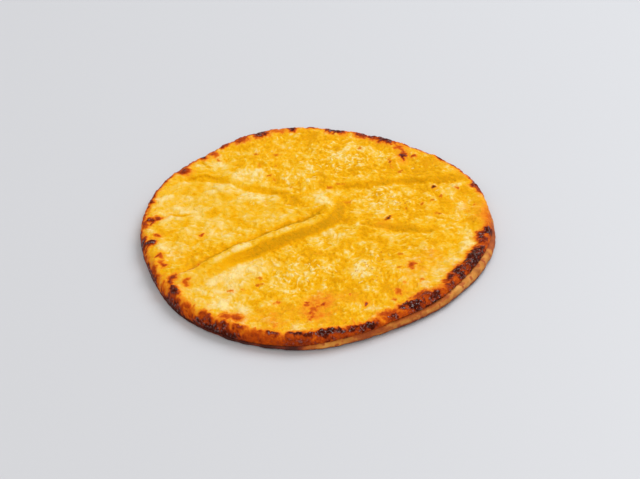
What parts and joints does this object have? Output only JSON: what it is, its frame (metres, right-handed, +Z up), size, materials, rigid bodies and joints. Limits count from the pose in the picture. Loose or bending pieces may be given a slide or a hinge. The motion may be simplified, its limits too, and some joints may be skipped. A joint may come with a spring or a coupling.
{
  "type": "cheese naan",
  "caption": "Round flatbread baked with a sheet of melted cheese over its top, with a folded middle and a browned, blistered rim.",
  "frame": {"origin": "middle of the bounding box seen from above, on the surface that the bread rests on", "axes": "+Z up out of the cheese side; +Y along the slightly longer way across, away from the side where the bare edge of the dough shows; +X to the right when looking along +Y"},
  "size_m": [0.1614, 0.1698, 0.0104],
  "materials": {
    "baked_dough": "matte baked dough, tan at the side, browner with darker spots underneath",
    "baked_cheese": "oily golden-yellow melted cheese, orange to red-brown and charred at the rim"
  },
  "bodies": {
    "root": {"bread": "baked_dough", "cheese": "baked_cheese"}
  },
  "joints": []
}
